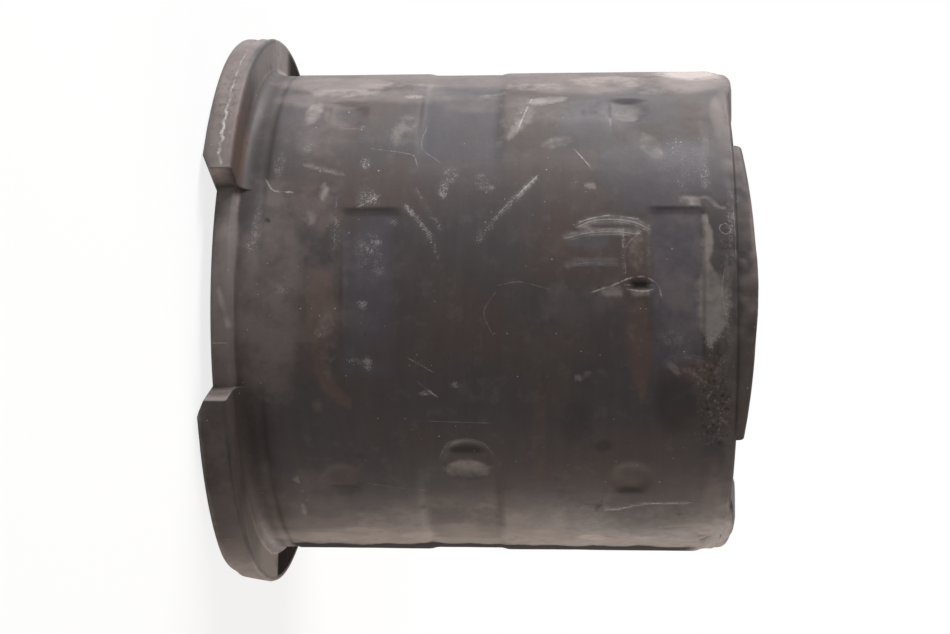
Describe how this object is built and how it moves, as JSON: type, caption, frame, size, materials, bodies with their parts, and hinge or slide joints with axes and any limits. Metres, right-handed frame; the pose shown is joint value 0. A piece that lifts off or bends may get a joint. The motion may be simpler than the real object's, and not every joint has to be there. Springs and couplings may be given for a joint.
{
  "type": "rubber metal bush",
  "caption": "Round bonded rubber bush with a bolt sleeve, a flange of two lugs that seats against its housing, and stop pads at both ends.",
  "frame": {"origin": "centre of the box's bottom: on the bolt axis, in the plane of the flange pads that the bush stands on", "axes": "+Z along the bolt axis from the flange to the plain end; +X through the middle of a flange lug; +Y through a gap between the lugs"},
  "size_m": [0.076, 0.0708, 0.067],
  "materials": {
    "rubber": "matte, scuffed and dusty",
    "sleeve_steel": "turned, dull",
    "cage_steel": "bonded, not seen"
  },
  "bodies": {
    "root": {"rubber_body": "rubber", "inner_sleeve": "sleeve_steel", "outer_sleeve": "cage_steel"}
  },
  "joints": []
}
